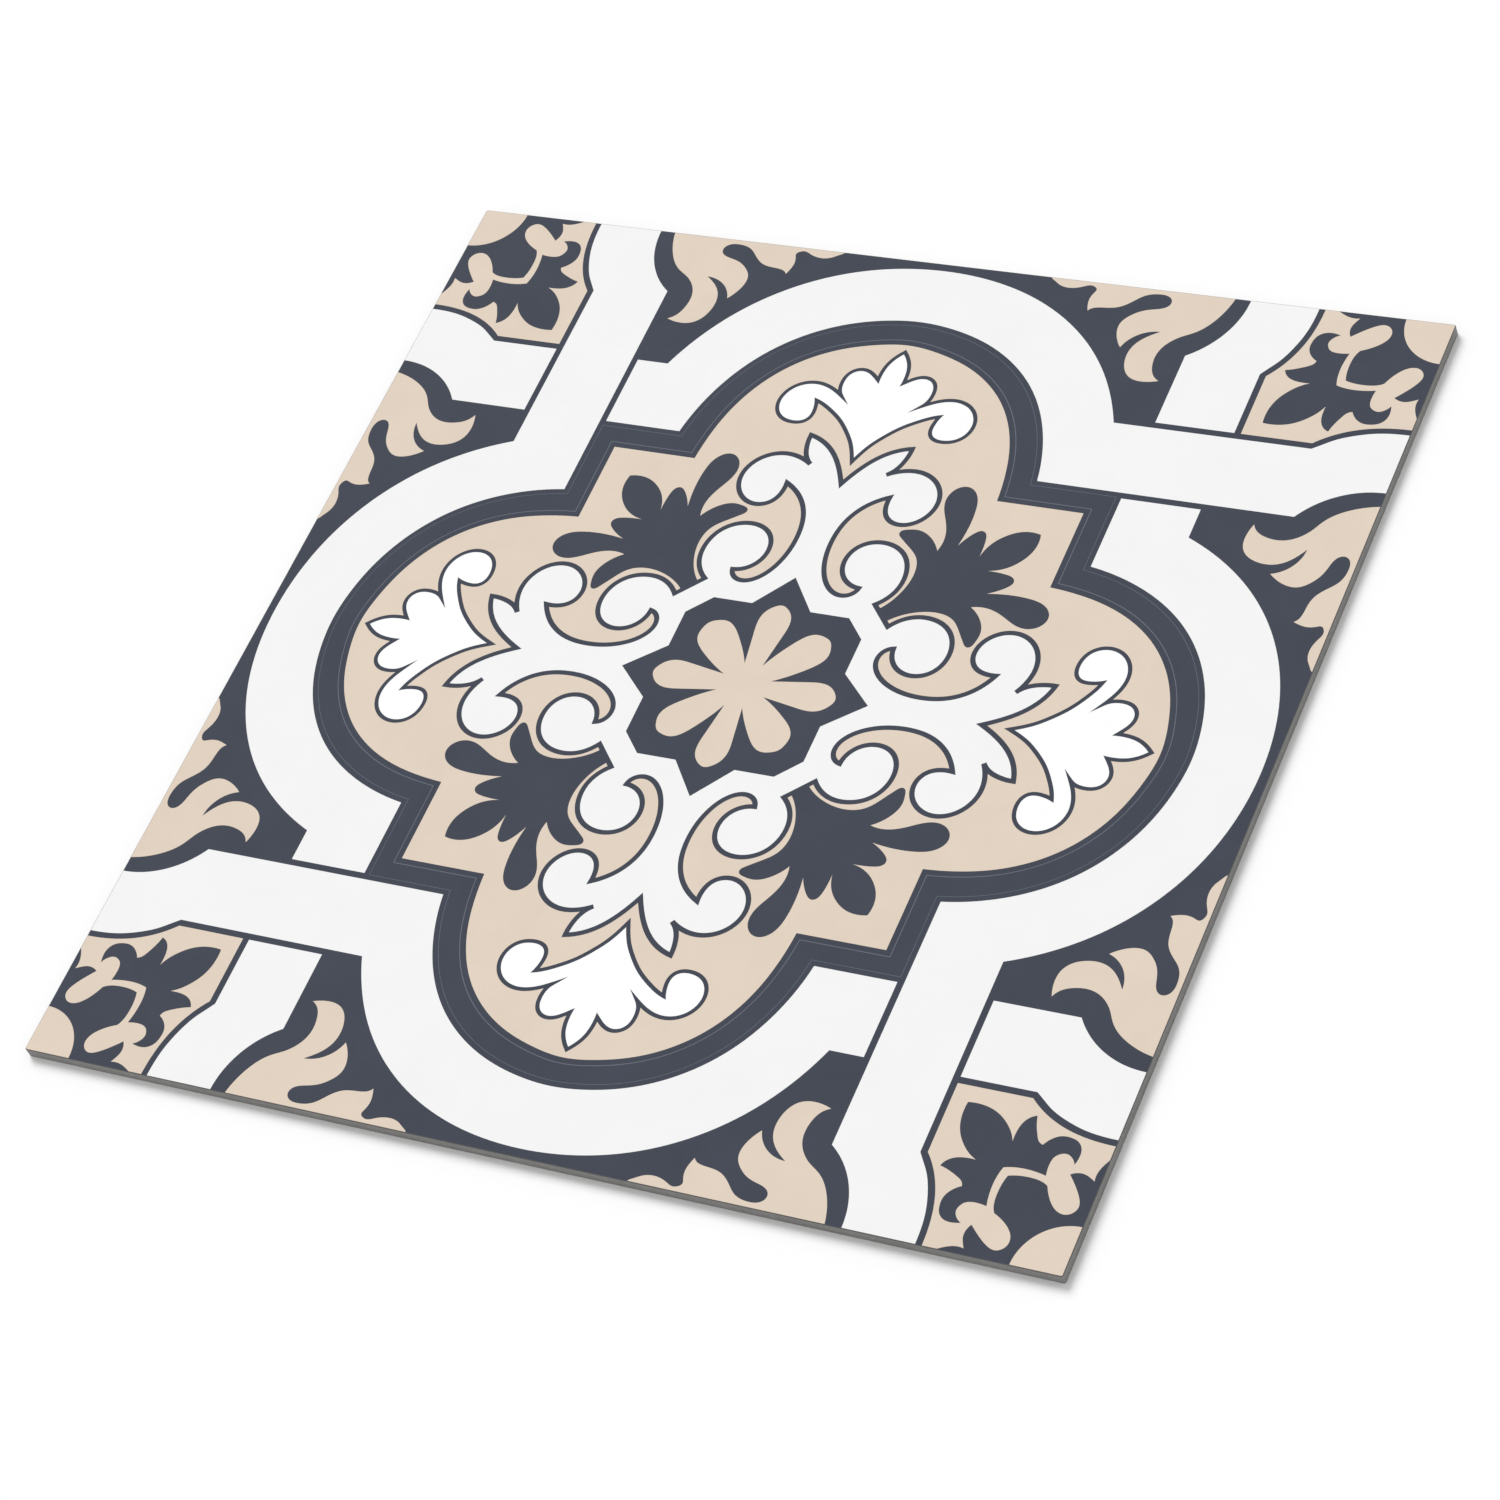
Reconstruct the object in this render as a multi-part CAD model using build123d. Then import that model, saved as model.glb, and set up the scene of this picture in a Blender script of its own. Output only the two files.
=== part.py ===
from build123d import *
import os

# A printed vinyl floor tile, pressed and die-cut from one flat sheet of filled vinyl.
# The frame has its origin at the centre of the underside, X and Y along the cut edges
# and +Z out of the printed face. All lengths are in millimetres.

TILE_SIDE = 300.0  # both edges of the square, measured on the printed face
TILE_THICKNESS = 3.2  # from the underside to the printed face
CORNER_RADIUS = 0.6  # the cutting die leaves the four upright corners this round
FACE_EASE = 0.2  # the wear layer is eased by this much all round the printed face


def cut_blank():
    """The square blank as the die cuts it, standing on the underside."""
    outline = RectangleRounded(TILE_SIDE, TILE_SIDE, CORNER_RADIUS)
    return extrude(outline, amount=TILE_THICKNESS)


def ease_face(blank):
    """The blank with the arris round its printed face rounded over."""
    face = blank.faces().sort_by(Axis.Z)[-1]
    return fillet(face.edges(), radius=FACE_EASE)


def make_tile():
    tile = ease_face(cut_blank())
    tile.label = "tile"
    return tile


os.makedirs("parts", exist_ok=True)
export_step(make_tile(), "parts/tile.step")
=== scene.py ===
import cmath
import math
import bpy
import numpy as np
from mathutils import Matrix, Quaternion, Vector
from mathutils.geometry import delaunay_2d_cdt


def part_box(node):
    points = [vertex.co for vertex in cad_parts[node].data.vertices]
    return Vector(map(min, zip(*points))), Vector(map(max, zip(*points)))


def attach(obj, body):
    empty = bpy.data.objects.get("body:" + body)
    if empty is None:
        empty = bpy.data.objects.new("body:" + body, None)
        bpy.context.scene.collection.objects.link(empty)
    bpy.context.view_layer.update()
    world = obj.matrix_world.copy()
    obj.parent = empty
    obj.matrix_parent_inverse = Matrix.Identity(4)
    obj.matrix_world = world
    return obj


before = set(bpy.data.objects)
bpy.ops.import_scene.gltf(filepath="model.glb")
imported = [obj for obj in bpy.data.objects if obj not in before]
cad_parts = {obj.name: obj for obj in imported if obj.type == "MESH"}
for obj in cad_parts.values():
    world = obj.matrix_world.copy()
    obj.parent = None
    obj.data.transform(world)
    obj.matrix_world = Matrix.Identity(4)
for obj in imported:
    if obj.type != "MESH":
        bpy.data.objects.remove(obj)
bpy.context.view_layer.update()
MM = 0.001


# The tile's body: one flat sheet of limestone-filled vinyl, calendered grey all through with
# pale grains of filler. The die leaves faint upright drag marks on its sides, and the back is
# sanded. Its eased edge and the top of its sides are coloured a darker grey. It is the CAD solid.

def srgb(red, green, blue):
    """A colour read off a screen, 0 to 255, as the linear light that the shader wants."""
    part = [c / 255 for c in (red, green, blue)]
    return tuple(c / 12.92 if c <= 0.04045 else ((c + 0.055) / 1.055) ** 2.4 for c in part) + (1.0,)


def feed(tree, socket, given):
    """Link another node's output to the socket, or set the socket's own value."""
    if isinstance(given, bpy.types.NodeSocket):
        tree.links.new(given, socket)
    else:
        socket.default_value = given


def node(tree, kind, **given):
    """A new node, with what is given for its inputs fed to them, and the rest set on it."""
    made = tree.nodes.new(kind)
    for key, value in given.items():
        socket = made.inputs.get(key.replace("_", " "))
        if socket is None:
            setattr(made, key, value)
        else:
            feed(tree, socket, value)
    return made


def maths(tree, operation, *given):
    made = node(tree, "ShaderNodeMath", operation=operation)
    for socket, value in zip(made.inputs, given):
        feed(tree, socket, value)
    return made.outputs["Value"]


def noise(tree, where, size, detail, roughness=0.5):
    """Clouds of about that size in metres, from 0 to 1."""
    return node(tree, "ShaderNodeTexNoise", Vector=where, Scale=1 / size, Detail=detail,
                Roughness=roughness).outputs["Fac"]


def spread(tree, value, low, high, start=0.0, end=1.0):
    """The value's run from start to end, stretched over low to high."""
    return node(tree, "ShaderNodeMapRange", Value=value, From_Min=start, From_Max=end,
                To_Min=low, To_Max=high).outputs["Result"]


def blended(tree, factor, low, high):
    """One colour over another as far as the factor says."""
    return node(tree, "ShaderNodeMix", data_type="RGBA", Factor=factor, A=low, B=high).outputs["Result"]


def new_material(name):
    material = bpy.data.materials.new(name)
    material.use_nodes = True
    material.node_tree.nodes.clear()
    return material


def surface(tree, **given):
    """The material's shader, with what is given for its sockets."""
    skin = node(tree, "ShaderNodeBsdfPrincipled", **given)
    node(tree, "ShaderNodeOutputMaterial", Surface=skin.outputs["BSDF"])


BODY_GREY = srgb(140, 139, 137)
BODY_GREY_DEEP = srgb(130, 129, 127)
CLOUD = 11 * MM  # from one of the body's darker clouds to the next
FILLER = srgb(184, 184, 180)
GRAIN_PITCH = 0.9 * MM  # from one grain of filler to the next
GRAIN_SIZE = 0.2  # the largest grain's radius, in pitches
GRAIN_WANDER = 0.35 * MM  # how far a grain's outline strays
WANDER_PITCH = 0.4 * MM  # and over what distance it does
DARK_EDGE_GREY = srgb(90, 91, 93)  # a darker grey over the eased edge and the top of the sides
DARK_EDGE_FOOT = 2.95 * MM
DARK_EDGE_FADE = 0.05 * MM
DRAG_PITCH = 0.35 * MM  # from one drag mark to the next along a cut side
DRAG_LENGTH = 16 * MM
SANDING_PITCH = 0.6 * MM  # from one sanding mark to the next across the back
SANDING_LENGTH = 25 * MM
MARK_DEPTH = 0.04 * MM
BODY_ROUGHNESS = 0.55, 0.72

body_material = new_material("filled_vinyl_body")
tree = body_material.node_tree
place = node(tree, "ShaderNodeTexCoord")
where = place.outputs["Object"]


def marks(scale):
    """Noise that is stretched into marks; scale is how often it changes each way."""
    stretched = node(tree, "ShaderNodeMapping", Vector=where, Scale=scale).outputs["Vector"]
    return noise(tree, stretched, 1.0, detail=2.0)


facing = node(tree, "ShaderNodeSeparateXYZ", Vector=place.outputs["Normal"]).outputs["Z"]
worked = node(tree, "ShaderNodeMix", data_type="FLOAT",
              Factor=maths(tree, "LESS_THAN", facing, -0.5),
              A=marks((1 / DRAG_PITCH, 1 / DRAG_PITCH, 1 / DRAG_LENGTH)),
              B=marks((1 / SANDING_PITCH, 1 / SANDING_LENGTH, 1 / SANDING_PITCH))).outputs["Result"]
clouds = noise(tree, where, CLOUD, detail=4.0, roughness=0.6)
both = maths(tree, "ADD", clouds, worked)  # from 0 to 2, and mostly near 1
tone = spread(tree, both, 0, 1, 0.75, 1.25)
colour = blended(tree, tone, BODY_GREY_DEEP, BODY_GREY)

wander = node(tree, "ShaderNodeTexNoise", Vector=where, Scale=1 / WANDER_PITCH, Detail=1.0)
ragged = node(tree, "ShaderNodeVectorMath", operation="MULTIPLY_ADD")
for socket, given in zip(ragged.inputs, (wander.outputs["Color"], (GRAIN_WANDER,) * 3, where)):
    feed(tree, socket, given)
grains = node(tree, "ShaderNodeTexVoronoi", Vector=ragged.outputs["Vector"], Scale=1 / GRAIN_PITCH)
speck = spread(tree, grains.outputs["Distance"], 1, 0, GRAIN_SIZE / 2, GRAIN_SIZE)
paleness = node(tree, "ShaderNodeSeparateColor", Color=grains.outputs["Color"]).outputs["Red"]
colour = blended(tree, maths(tree, "MULTIPLY", speck, paleness), colour, FILLER)

# The body is coloured a darker grey from 2.95 mm up, over the eased edge and the top of the sides.
height = node(tree, "ShaderNodeSeparateXYZ", Vector=where).outputs["Z"]
in_edge = spread(tree, height, 0, 1, DARK_EDGE_FOOT, DARK_EDGE_FOOT + DARK_EDGE_FADE)
colour = blended(tree, in_edge, colour, DARK_EDGE_GREY)

relief = node(tree, "ShaderNodeBump", Height=worked, Strength=0.5, Distance=MARK_DEPTH)
surface(tree, Base_Color=colour, Roughness=spread(tree, worked, *BODY_ROUGHNESS),
        Normal=relief.outputs["Normal"], Specular_IOR_Level=0.3)
for slot in bpy.data.objects["tile"].material_slots:
    slot.material = body_material


# The print: gravure inks, laid down flat on the sheet one after the other and sealed in
# under a clear layer. The pattern is the old interlaced quatrefoil with scrolls and
# palmettes, and each quarter of the tile repeats the last, turned by a quarter.

# A point is a complex number, x + yj in millimetres from the tile's middle. A figure is
# drawn as a half or an eighth of itself, and its shapes go down in order, so a
# later ink covers the ones before it.
painted = []  # every shape in the order in which it is laid down, as (ink, ring)


def lay(ink, ring, quarters=1):
    """Lay a shape down once, or in each quarter of the tile."""
    painted.extend((ink, [z * 1j ** k for z in ring]) for k in range(quarters))


SAG = 0.008  # how far a straight piece may stand off the curve it follows


def pieces_of(turn, radius):
    """How many straight pieces follow a curve of that turn and radius."""
    return math.ceil(turn / (2 * math.acos(1 - min(0.5, SAG / radius))))


def arc(centre, radius, start, end):
    turn = math.radians(end - start)
    steps = max(2, pieces_of(abs(turn), radius))
    return [centre + cmath.rect(radius, math.radians(start) + turn * i / steps) for i in range(steps + 1)]


# The ground: slate, rolled on first, over the whole flat of the face inside its eased edge.
# Its border cuts off whatever figure runs past it.
HALF_SIDE = round(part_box("tile")[1][0] / MM, 3)
EASE = 0.2  # the radius of the edge's own easing
FLAT = HALF_SIDE - EASE
ROUND = 0.4  # the flat's four corners
PAST_EDGE = HALF_SIDE + 1
corner = arc((FLAT - ROUND) * (1 + 1j), ROUND, 0, 90)
lay("slate", [z * 1j ** k for k in range(4) for z in corner])


# The straps: four quatrefoil bands of white that pass over and under each other. The upper
# strap of a quarter runs level from the middle's lobe to the tile's edge, and the other one
# goes under it, cut short by a slate gap. Both flare out where they reach the edge.

def smooth(knots, start=None, end=None):
    """The spans of a pen line through the knots that bends as evenly as it can.
    start and end are the directions in which it leaves and arrives, where these are fixed."""
    z = np.array(knots, complex)
    n = len(z) - 1
    chord = z[1:] - z[:-1]
    far = abs(chord)
    turn = np.zeros(n + 1)
    turn[1:n] = np.angle(chord[1:] / chord[:-1])
    rows, wanted = np.zeros((n + 1, n + 1)), np.zeros(n + 1)
    rows[0, 0] = rows[n, n] = 1
    if start is None:
        rows[0, 1], wanted[0] = 1, -turn[1]
    else:
        wanted[0] = np.angle(start / chord[0])
    if end is None:
        rows[n, n - 1] = 1
    else:
        wanted[n] = np.angle(end / chord[-1])
    for k in range(1, n):
        rows[k, k - 1 : k + 2] = 1 / far[k - 1], 2 / far[k - 1] + 2 / far[k], 1 / far[k]
        wanted[k] = -2 * turn[k] / far[k - 1] - turn[k + 1] / far[k]
    leave = np.linalg.solve(rows, wanted)
    arrive = -turn - leave
    spans = []
    for k in range(n):
        a, b = leave[k], arrive[k + 1]
        first = z[k] + chord[k] * cmath.exp(1j * a) * reach(a, b)
        second = z[k + 1] - chord[k] * cmath.exp(-1j * b) * reach(b, a)
        spans.append((z[k], first, second, z[k + 1], abs(a) + abs(b)))
    return spans


def reach(a, b):
    """The length of a span's handle against its chord, from the angles at its two ends,
    by the usual rule for even curves, which keeps an arc round."""
    lift = math.sqrt(2) * (math.sin(a) - math.sin(b) / 16) * (math.sin(b) - math.sin(a) / 16)
    return (2 + lift * (math.cos(a) - math.cos(b))) / (
        3 + 1.5 * (math.sqrt(5) - 1) * math.cos(a) + 1.5 * (3 - math.sqrt(5)) * math.cos(b))


STRAIGHT = 1e-3  # the least bend of a span that counts, in radians


def drawn(knots, start=None, end=None):
    """The points of one pen line; one with two knots is straight."""
    if len(knots) == 2:
        return [complex(z) for z in knots]
    line = [complex(knots[0])]
    for a, b, c, d, bend in smooth(knots, start, end):
        steps = max(1, pieces_of(bend, abs(d - a) / max(bend, STRAIGHT)))
        for i in range(1, steps + 1):
            t = i / steps
            line.append((1 - t) ** 3 * a + 3 * t * (1 - t) ** 2 * b + 3 * t * t * (1 - t) * c + t ** 3 * d)
    return line


def across_diagonal(z):
    return complex(z.imag, z.real)


NEAR = 79.85  # the straps' two straight sides, from the middle
FAR = 102.64
GAP = 1.88  # the slate between a strap and what lies beside it

band_lobe = [0 + 128.5j, 8.7 + 127.75j, 22.35 + 123.9j, 40.95 + 110.6j, 52.1 + 90.6j, 54.6 + NEAR * 1j]
strap_lobe = [0 + 147.45j, 30.25 + 141.65j, 55.5 + 123.7j, 66.8 + 106.3j, 68.4 + FAR * 1j]
strap_flare = [FAR + 125.2j, 104.7 + 128j, 106.15 + 130j, 108.6 + 135j, 110.4 + 141j, 111.1 + 147j,
               111.15 + PAST_EDGE * 1j]
inner_flare = [PAST_EDGE + 91.4j] + arc(HALF_SIDE + 65.2j, 26.2, 90, 146)
upper_strap = [*drawn(strap_lobe, start=1), *map(across_diagonal, drawn(strap_flare)),
               *inner_flare, *drawn(band_lobe, start=1)[::-1]]
lower_strap = list(map(across_diagonal, upper_strap))
low, high = NEAR - GAP, FAR + GAP
crossing = [low + low * 1j, high + low * 1j, high + high * 1j, low + high * 1j]


# The corner panel: sand, with a lily in slate that grows out of the tile's corner, held by
# a sand handle with a knob at each end, and a sand quarter disc in the corner itself.

def pen(lines, start=None, end=None):
    """The lines of a figure, with the way the first one starts and the last one ends."""
    last = len(lines) - 1
    return [drawn(line, start if k == 0 else None, end if k == last else None)
            for k, line in enumerate(lines)]


def there_and_back(lines, mirror):
    """Half a figure and its mirror image, in one run."""
    return lines + [[mirror(z) for z in reversed(line)] for line in reversed(lines)]


TOUCHING = 1e-6  # two lines meet where their ends are nearer than this


def joined(lines):
    """One ring of points from lines that meet end to end."""
    ring = []
    for line in lines:
        ring += [z for z in line if not ring or abs(z - ring[-1]) > TOUCHING]
    if abs(ring[0] - ring[-1]) < TOUCHING:
        ring.pop()
    return ring


panel_flare = drawn([FAR + GAP + 124.8j, 107.05 + 128j, 109.35 + 132j, 111.55 + 138j, 112.65 + 144j,
                     112.95 + PAST_EDGE * 1j])
panel_corner = (FAR + GAP) * (1 + 1j)
tile_corner = PAST_EDGE * (1 + 1j)
panel = [tile_corner, *panel_flare[::-1], panel_corner, *map(across_diagonal, panel_flare)]
lily_half = [
    [116.7 + PAST_EDGE * 1j, 116.7 + 150j],
    [116.7 + 150j, 118.85 + 148.8j, 121.05 + 148.1j, 123.4 + 148.2j],
    [123.4 + 148.2j, 122.6 + 146.7j, 122.05 + 145.2j, 122.1 + 143.3j, 122.9 + 141.6j],
    [122.9 + 141.6j, 120.1 + 141.7j],
    [120.1 + 141.7j, 118.3 + 142.1j, 116.5 + 142.1j, 114.75 + 141.4j, 113.6 + 140.05j,
     113.05 + 138.05j, 113.1 + 136j, 114.4 + 133.6j, 116.5 + 132j],
    [116.5 + 132j, 115.8 + 130.65j, 114.5 + 129.8j, 111.8 + 128.55j, 109 + 127.7j],
    [109 + 127.7j, 110.1 + 125.9j, 111.9 + 124.75j, 114.55 + 124.2j, 117.2 + 124.2j],
    [117.2 + 124.2j, 114.6 + 122.7j, 112.4 + 120.6j, 110.6 + 118.1j, 109.45 + 115.3j,
     108.95 + 112.2j, 109.1 + 109.1j],
]
lily = there_and_back(pen(lily_half), across_diagonal)
lily.append([lily[-1][-1], tile_corner, lily[0][0]])
handle_half = [
    [124.7 + 124.7j, 124.05 + 127.55j, 123.9 + 130.5j, 124.1 + 133.2j, 124.6 + 135.9j],
    [124.6 + 135.9j, 122.55 + 135.6j, 120.5 + 135.65j, 118.95 + 136.2j, 118.0 + 137.35j,
     117.65 + 138.65j, 118.1 + 140j, 120.1 + 141.7j],
    [120.1 + 141.7j, 122.9 + 141.6j],
    [122.9 + 141.6j, 125 + 143.5j, 127.2 + 145.25j, 129.05 + 146.4j, 131 + 146.95j,
     132.6 + 146.35j, 133.6 + 145j, 133.6 + 142.8j, 132.4 + 140.8j, 130 + 138.8j, 127.2 + 137.3j],
    [127.2 + 137.3j, 126.55 + 136.1j, 126.15 + 134.75j, 125.9 + 132j, 126.05 + 129.25j,
     126.65 + 126.65j],
]
disc = arc(HALF_SIDE * (1 + 1j), 13.95, 180, 270)
disc += [complex(PAST_EDGE, disc[-1].imag), tile_corner, complex(disc[0].real, PAST_EDGE)]

lay("sand", panel, quarters=4)
lay("slate", joined(lily), quarters=4)
lay("sand", joined(there_and_back(pen(handle_half), across_diagonal)), quarters=4)
lay("sand", disc, quarters=4)


# The edge leaf: a sand acanthus between two quatrefoils, cut in half by the tile's edge.
# There are two to a quarter, and the straps go down over them.
leaf = [
    [87 + PAST_EDGE * 1j, 32 + PAST_EDGE * 1j],
    [32 + PAST_EDGE * 1j, 32 + 150j, 33.45 + 148.75j, 35.05 + 147.7j, 38.5 + 146.9j, 42.3 + 147.9j,
     44.6 + 148.65j, 45.7 + 148.3j, 46.55 + 147.4j, 46.3 + 146.3j, 45.7 + 143.7j, 46 + 141.65j,
     46.7 + 139.7j],
    [46.7 + 139.7j, 47.6 + 140.65j, 48.7 + 141.1j, 51.75 + 141.5j, 55.05 + 142.25j, 58.2 + 144.6j,
     61.1 + 147.25j, 65.3 + 148.35j, 67.9 + 147.95j, 69.35 + 146.4j, 69.2 + 144.9j, 68.1 + 143.8j,
     65.05 + 142.8j, 62 + 141.7j, 59.5 + 139.8j, 57.75 + 137.3j, 57.7 + 133.7j, 58.85 + 130.9j,
     60.6 + 128.4j],
    [60.6 + 128.4j, 63.2 + 132.65j, 66.3 + 134.65j, 70 + 135.4j],
    [70 + 135.4j, 68 + 134.05j, 66.2 + 132.5j, 64.25 + 129.8j, 63.45 + 126.5j, 63.9 + 123j,
     65.4 + 120j, 67.45 + 118.35j, 70 + 117.7j, 72.85 + 117.85j, 75.6 + 118.6j],
    [75.6 + 118.6j, 74.25 + 119.4j, 73.25 + 120.45j, 72 + 123.3j, 71.6 + 126.45j,
     72.25 + 129.65j, 74 + 132.45j, 76.5 + 134.65j, 79.45 + 136.45j, 82 + 138.8j,
     83.85 + 141.5j, 85.3 + 144.5j, 86.85 + 150j, 87 + PAST_EDGE * 1j],
]
leaf = joined(pen(leaf))
lay("sand", leaf, quarters=4)
lay("sand", list(map(across_diagonal, leaf)), quarters=4)
lay("white", lower_strap, quarters=4)
lay("slate", crossing, quarters=4)
lay("white", upper_strap, quarters=4)


# The field: a sand quatrefoil with square shoulders inside a broad slate band, which has
# a hairline of a paler slate near each of its borders.

def eightfold(eighth):
    """A ring round the middle from its eighth, which runs from the upright axis to the diagonal."""
    quarter = there_and_back(eighth, across_diagonal)
    return [[z / 1j ** k for z in line] for k in range(4) for line in quarter]


def meeting(p, q, r, s):
    """Where the run p to q crosses the run r to s, as its share along each, unless they are
    parallel."""
    d, e, f = q - p, s - r, r - p
    det = (d.conjugate() * e).imag
    if abs(det) < 1e-12:
        return None
    return (f.conjugate() * e).imag / det, (f.conjugate() * d).imag / det


def beside(line, away):
    """The line moved sideways to its left, and up to twice as far at a bend."""
    z = np.array(line, complex)
    step = z[1:] - z[:-1]
    step /= abs(step)
    way = np.concatenate([step[:1], step[:-1] + step[1:], step[-1:]])
    way /= abs(way)
    stretch = np.ones(len(z))
    stretch[1:-1] = 1 / np.maximum((way[1:-1].conjugate() * step[1:]).real, 0.5)
    return list(z + 1j * away * way * stretch)


def widened(lines, away, longest_mitre=4.0):
    """A clockwise ring of lines moved outwards, or inwards if away is negative. Its corners stay
    sharp, up to a mitre of so many times the move."""
    moved = [beside(line, away) for line in lines]
    for k in range(len(moved)):
        one, two = moved[k - 1], moved[k]
        if abs(one[-1] - two[0]) < TOUCHING:
            continue
        cut = None
        for i in range(len(one) - 2, -1, -1):
            for j in range(len(two) - 1):
                m = meeting(one[i], one[i + 1], two[j], two[j + 1])
                if m and 0 <= m[0] <= 1 and 0 <= m[1] <= 1:
                    cut = i, j, one[i] + m[0] * (one[i + 1] - one[i])
                    break
            if cut:
                break
        if cut:
            i, j, corner = cut
            one[i + 1 :] = [corner]
            two[: j + 1] = [corner]
            continue
        m = meeting(one[-2], one[-1], two[1], two[0])
        if m and m[0] > 1 and m[1] > 1:
            corner = one[-2] + m[0] * (one[-1] - one[-2])
            if abs(corner - lines[k][0]) <= longest_mitre * abs(away):
                one.append(corner)
    return joined(moved)


field_eighth = [
    [0 + 119.8j, 9.5 + 118.5j, 18.65 + 115.6j, 34.2 + 104.45j, 43.25 + 87.75j, 45 + 80.3j, 46.05 + 71.4j],
    [46.05 + 71.4j, 71.4 + 71.4j],
]
band_eighth = [band_lobe, [54.6 + NEAR * 1j, NEAR * (1 + 1j)]]
field = eightfold(pen(field_eighth, start=1))
band = eightfold(pen(band_eighth, start=1))
OUTER_HAIRLINE = -1.55, -1.67  # its two borders, from the band's
INNER_HAIRLINE = 1.86, 1.64  # and from the field's

lay("hairline", widened(band, OUTER_HAIRLINE[0]))
lay("slate", widened(band, OUTER_HAIRLINE[1]))
lay("hairline", widened(field, INNER_HAIRLINE[0]))
lay("slate", widened(field, INNER_HAIRLINE[1]))
lay("sand", joined(field))


# The dark palmette: slate, one in each shoulder of the field, springing from the scrolls,
# which go down over its foot.
palmette_half = [
    [27.4 + 31j, 29.85 + 34.2j, 31.55 + 37.9j, 32.5 + 44.5j, 31 + 49.1j, 28.15 + 51.85j,
     24.05 + 54.95j, 23.1 + 56.55j, 24.9 + 57.85j, 27.8 + 58.25j, 32 + 56.7j, 35.95 + 52.4j],
    [35.95 + 52.4j, 36.35 + 57j, 34.35 + 62.6j, 31.75 + 69j, 32.7 + 72.8j, 36 + 74.7j,
     39.6 + 72.7j, 41.4 + 67.5j, 41.6 + 60j, 41 + 55j],
    [41 + 55j, 43.2 + 58.85j, 44.5 + 60.3j, 45.85 + 60.95j, 47.2 + 60.3j, 47.9 + 58.65j,
     48.3 + 55.5j, 48.35 + 52.4j],
    [48.35 + 52.4j, 49.3 + 55.75j, 51.15 + 58.65j, 53.2 + 60.55j, 55.6 + 62j, 59.6 + 62.85j,
     62.45 + 62.45j],
]
lay("slate", joined(there_and_back(pen(palmette_half), across_diagonal)), quarters=4)


# The scrolls: white volutes that part from each side of the star in pairs, outlined by a
# slate pen line. The knots follow the middle of that line.
SCROLL_LINE = 1.46
scroll_eighth = [
    [0 + 69.7j, 1.7 + 72.95j, 3.8 + 76.3j, 6.7 + 79.8j, 10.2 + 82.6j, 15.5 + 84.75j],
    [15.5 + 84.75j, 15.45 + 82.9j, 15.15 + 81j, 13.6 + 77j, 11.6 + 74.9j],
    [11.6 + 74.9j, 15.35 + 76.7j, 19.5 + 77.4j, 26.9 + 74.5j, 29.9 + 68j, 27.5 + 61.65j,
     22.2 + 59.05j, 17.35 + 60.95j, 15.7 + 65j, 15.7 + 67.6j],
    [15.7 + 67.6j, 12.75 + 65.85j, 10.1 + 63.55j, 6.4 + 57.5j, 5.2 + 50j, 7.2 + 40j,
     10.5 + 35.3j, 14.7 + 33.35j, 18 + 34.5j, 19.1 + 36.55j],
    [19.1 + 36.55j, 15.75 + 37.45j, 13.1 + 39.7j, 11.5 + 45j, 13.5 + 49.85j, 20.3 + 52.45j,
     27.6 + 49.2j, 30.4 + 42.5j, 29.9 + 37.9j, 28.2 + 34.65j, 25.7 + 32.15j],
    [25.7 + 32.15j, 28.925 + 28.925j],
]
scroll = eightfold(pen(scroll_eighth))
lay("slate", widened(scroll, SCROLL_LINE / 2))
lay("white", widened(scroll, -SCROLL_LINE / 2))


# The middle: a slate star with notched points, and on it a sand rosette of eight petals,
# of which the four along the diagonals are blunter.
star_eighth = [
    [0 + 36.86j, 8.8 + 26.52j],
    [8.8 + 26.52j, 20.38 + 26.52j],
    [20.38 + 26.52j, 23.45 + 23.45j],
]
rosette_eighth = [
    [0 + 27.2j, 2 + 26.4j, 3.8 + 24.5j, 4.65 + 21.5j, 4.3 + 17.5j, 3.35 + 11.5j, 2.65 + 7j],
    [2.65 + 7j, 5.4 + 11.7j, 7.6 + 14.75j, 10 + 17.6j, 13.2 + 19.55j, 16.4 + 19.2j, 18.2 + 18.2j],
]
lay("slate", joined(eightfold(pen(star_eighth))))
lay("sand", joined(eightfold(pen(rosette_eighth, start=1, end=1 - 1j))))


# The bright palmette: one in each lobe of the field, in the purest white of the print, with
# a thin slate outline that goes down first and shows round it.

def across_upright(z):
    return complex(-z.real, z.imag)


PALMETTE_LINE = 1.18
bright_half = [
    [0 + 116.5j, 1.45 + 114.7j, 2.7 + 112.2j, 3.3 + 109j, 3.2 + 105.2j],
    [3.2 + 105.2j, 5.05 + 106.75j, 7.65 + 108.5j, 9.8 + 108.9j, 12.45 + 107.5j, 13.4 + 104j,
     12.55 + 100.7j, 11.6 + 99.5j, 9 + 96.6j],
    [9 + 96.6j, 12.25 + 98.8j, 14.9 + 100.45j, 21.5 + 102.35j, 27.05 + 100.05j, 29.2 + 95j,
     27.05 + 90.35j, 23 + 88.95j, 19.25 + 90.35j, 18.65 + 93.3j, 19.05 + 95.55j, 19.9 + 97.7j],
    [19.9 + 97.7j, 16.3 + 96.4j, 13 + 94.5j, 9.6 + 92.1j, 6.6 + 89.25j, 4.65 + 87j,
     2.8 + 84.55j, 1.3 + 81.95j, 0 + 79.1j],
]
bright = there_and_back(pen(bright_half), across_upright)
lay("slate", widened(bright, PALMETTE_LINE, longest_mitre=6.0), quarters=4)
lay("bright_white", joined(bright), quarters=4)


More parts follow.
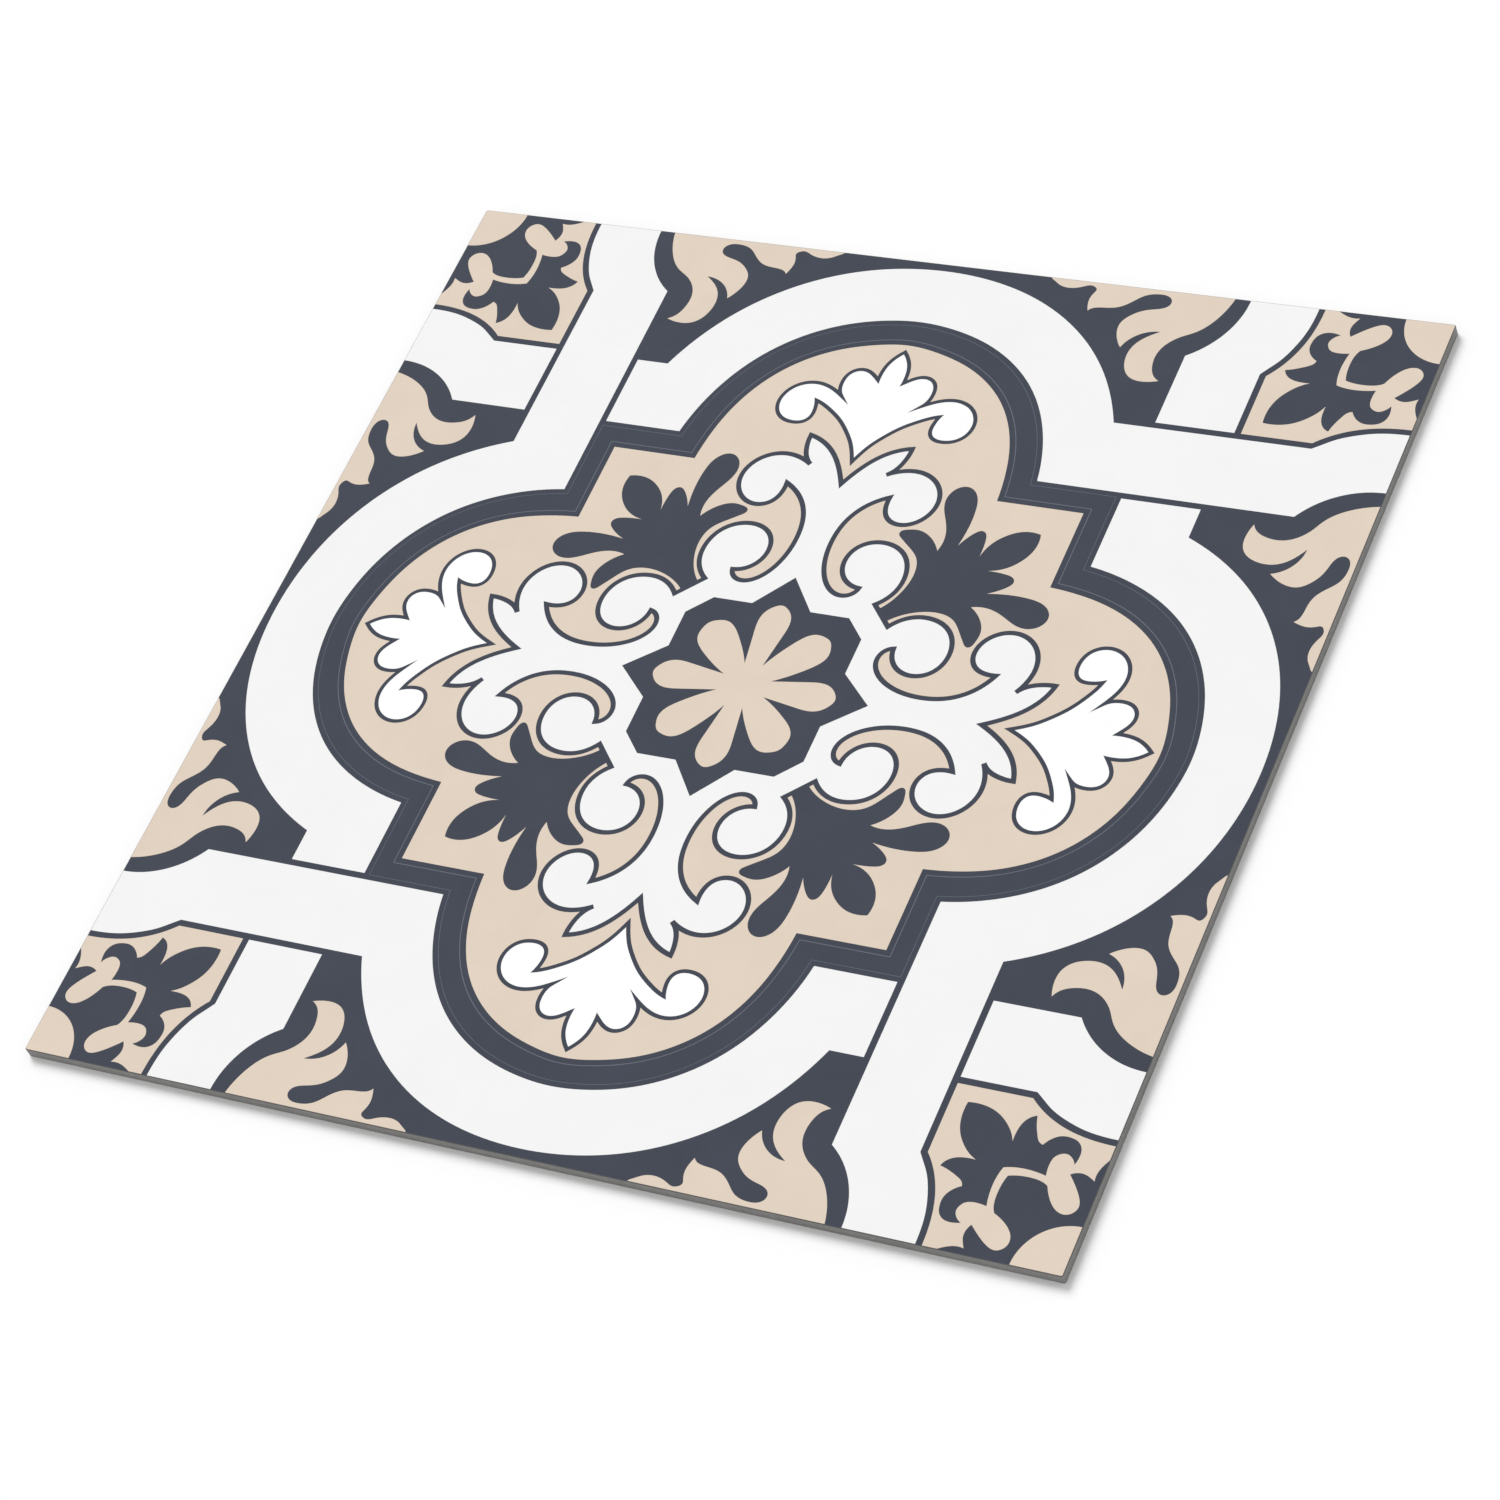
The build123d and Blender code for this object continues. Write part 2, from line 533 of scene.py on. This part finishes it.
# The inks as films: the face is divided along every outline, and each part keeps the ink
# that went down on it last. An ink's parts together are one closed film, 0.04 mm thick and
# half sunk in the face. It ends where the face's eased edge begins.
FACE = round(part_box("tile")[1][2] / MM, 3)
PROUD = 0.02
SUNK = 0.02
MAP_SIDE = 2.01 * HALF_SIDE  # what the film's own map covers, a little more than the face
TO_THE_HULL = 0  # the way of dividing: all the triangles, each with the rings that it lies in
SAME_POINT = 1e-4


def divided(shapes):
    """Triangles over the whole ground, and the ink of each."""
    points, rings = [], []
    for ink, ring in shapes:
        z = np.array(ring)
        anticlockwise = (z.conjugate() * np.roll(z, -1)).imag.sum() > 0
        rings.append(list(range(len(points), len(points) + len(ring))))
        points += [Vector((z.real, z.imag)) for z in (ring if anticlockwise else ring[::-1])]
    places, _, triangles, _, _, covers = delaunay_2d_cdt(points, [], rings, TO_THE_HULL, SAME_POINT)
    inside = [k for k, cover in enumerate(covers) if 0 in cover]
    inks = [shapes[max(covers[k])][0] for k in inside]
    return np.array(places), np.array([triangles[k] for k in inside]), np.array(inks)


def film(name, places, triangles):
    """A closed film under the triangles, which are seen from above and run anticlockwise."""
    used, corners = np.unique(triangles, return_inverse=True)
    triangles = corners.reshape(-1, 3).tolist()
    flat = places[used]
    count = len(flat)
    verts = [(x, y, FACE + PROUD) for x, y in flat] + [(x, y, FACE - SUNK) for x, y in flat]

    # The top, the underside, and a wall along every side that has no triangle beyond it.
    faces = [tuple(t) for t in triangles]
    faces += [(c + count, b + count, a + count) for a, b, c in triangles]
    sides = {(t[i], t[(i + 1) % 3]) for t in triangles for i in range(3)}
    faces += [(b, a, a + count, b + count) for a, b in sorted(sides) if (b, a) not in sides]

    # The mesh in metres, with its map laid flat from above.
    verts = np.array(verts) * MM
    mesh = bpy.data.meshes.new(name)
    mesh.from_pydata(verts.tolist(), [], faces)
    layer = mesh.uv_layers.new(name="OFBake")
    at = np.zeros(len(mesh.loops), int)
    mesh.loops.foreach_get("vertex_index", at)
    layer.data.foreach_set("uv", (verts[at, :2] / (MAP_SIDE * MM) + 0.5).ravel())
    piece = bpy.data.objects.new(name, mesh)
    bpy.context.scene.collection.objects.link(piece)
    return piece


places, triangles, inks = divided(painted)


# The wear layer: a clear satin vinyl over all the inks, with a fine pressed grain and a
# slight unevenness. It is seen only in how the inks shine, so it is part of each ink.
GRAIN = 0.8 * MM
GRAIN_DEPTH = 0.02 * MM
SWELL = 8 * MM
SWELL_DEPTH = 0.05 * MM
WEAR_ROUGHNESS = 0.41, 0.47
wear = bpy.data.node_groups.new("satin_wear_layer", "ShaderNodeTree")
for name, kind, way in (
    ("Grain", "NodeSocketFloat", "INPUT"),
    ("Swell", "NodeSocketFloat", "INPUT"),
    ("Roughness", "NodeSocketFloat", "OUTPUT"),
    ("Normal", "NodeSocketVector", "OUTPUT"),
):
    wear.interface.new_socket(name, in_out=way, socket_type=kind)
asked = node(wear, "NodeGroupInput")
where = node(wear, "ShaderNodeTexCoord").outputs["Object"]
swell = noise(wear, where, SWELL, detail=2.0)
swollen = node(wear, "ShaderNodeBump", Height=swell, Strength=asked.outputs["Swell"], Distance=SWELL_DEPTH)
grained = node(wear, "ShaderNodeBump", Height=noise(wear, where, GRAIN, detail=3.0),
               Strength=asked.outputs["Grain"], Distance=GRAIN_DEPTH, Normal=swollen.outputs["Normal"])
node(wear, "NodeGroupOutput", Roughness=spread(wear, swell, *WEAR_ROUGHNESS),
     Normal=grained.outputs["Normal"])


# The inks themselves: each is laid a little unevenly by its roller, so its lightness is
# mottled by so much either way, in soft clouds and in a finer grain.
MOTTLE = 16 * MM  # from one paler cloud to the next
for name, colour, mottle in (
    ("slate", srgb(64, 69, 81), 0.06),
    ("sand", srgb(225, 209, 192), 0.025),
    ("white", srgb(244, 244, 244), 0.012),
    ("bright_white", srgb(254, 254, 254), 0.01),
    ("hairline", srgb(108, 112, 124), 0.06),
):
    material = new_material("ink_" + name)
    tree = material.node_tree
    where = node(tree, "ShaderNodeTexCoord").outputs["Object"]
    clouds = spread(tree, noise(tree, where, MOTTLE, detail=6.0, roughness=0.65), 0, 1, 0.3, 0.7)
    thin, full = [tuple(min(1.0, c * part) for c in colour[:3]) + (1.0,)
                  for part in (1 + mottle, 1 - mottle)]
    wear_layer = node(tree, "ShaderNodeGroup", node_tree=wear, Grain=0.6, Swell=0.1)
    surface(tree, Base_Color=blended(tree, clouds, full, thin), Specular_IOR_Level=0.15,
            Roughness=wear_layer.outputs["Roughness"], Normal=wear_layer.outputs["Normal"])

    piece = film("print_" + name, places, triangles[inks == name])
    piece.data.materials.append(material)
    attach(piece, "root")


# The floor: a wide plain white sheet under the tile, not part of it. It is lit as white as
# the background, and keeps only the tile's soft shadow.
FLOOR_SIDE = 12.0
bpy.ops.mesh.primitive_plane_add(size=FLOOR_SIDE, location=(0, 0, 0))
floor = bpy.context.object
floor.name = "floor"
floor_material = new_material("white_floor")
surface(floor_material.node_tree, Base_Color=(1, 1, 1, 1), Roughness=1.0, Specular_IOR_Level=0.0)
floor.data.materials.append(floor_material)


# The light: a broad soft lamp from beyond the tile's back left corner, and an even sky.
# Together they light a flat surface so that its colour comes out as it is written. What
# shines reflects the white of the studio, not the lamp.
SKY = 0.55
LAMP = 0.46  # the lamp's share of the light on the floor
LAMP_HEIGHT = math.radians(44)
LAMP_BEARING = math.radians(135)
LAMP_BREADTH = math.radians(32)

lamp = bpy.data.objects.new("key", bpy.data.lights.new("key", "SUN"))
lamp.data.energy = LAMP * math.pi / math.sin(LAMP_HEIGHT)
lamp.data.angle = LAMP_BREADTH
towards = Vector((math.cos(LAMP_BEARING) * math.cos(LAMP_HEIGHT),
                  math.sin(LAMP_BEARING) * math.cos(LAMP_HEIGHT), math.sin(LAMP_HEIGHT)))
lamp.rotation_euler = towards.to_track_quat("Z", "Y").to_euler()
lamp.visible_glossy = False
bpy.context.scene.collection.objects.link(lamp)

world = bpy.data.worlds.new("studio")
bpy.context.scene.world = world
world.use_nodes = True
sky = world.node_tree
sky.nodes.clear()
path = node(sky, "ShaderNodeLightPath")
seen = maths(sky, "MAXIMUM", path.outputs["Is Camera Ray"], path.outputs["Is Glossy Ray"])
glow = node(sky, "ShaderNodeBackground", Color=(1, 1, 1, 1), Strength=spread(sky, seen, SKY, 1.0))
node(sky, "ShaderNodeOutputWorld", Surface=glow.outputs["Background"])


# The camera: a long lens high over the tile's front right corner, which looks down at 49
# degrees to a point near the tile's middle, and is rolled clockwise.
EYE = Vector((0.5754, -0.6291, 0.9576))
AIM = Vector((0.0104, -0.0196, 0.0032))
ROLL = math.radians(-25.215)
camera = bpy.data.objects.new("camera", bpy.data.cameras.new("camera"))
camera.data.lens = 116.2
camera.data.sensor_width = 36.0
camera.location = EYE
camera.rotation_mode = "QUATERNION"
camera.rotation_quaternion = (AIM - EYE).to_track_quat("-Z", "Y") @ Quaternion((0, 0, 1), ROLL)
bpy.context.scene.collection.objects.link(camera)
bpy.context.scene.camera = camera
bpy.context.scene.view_settings.view_transform = "Standard"
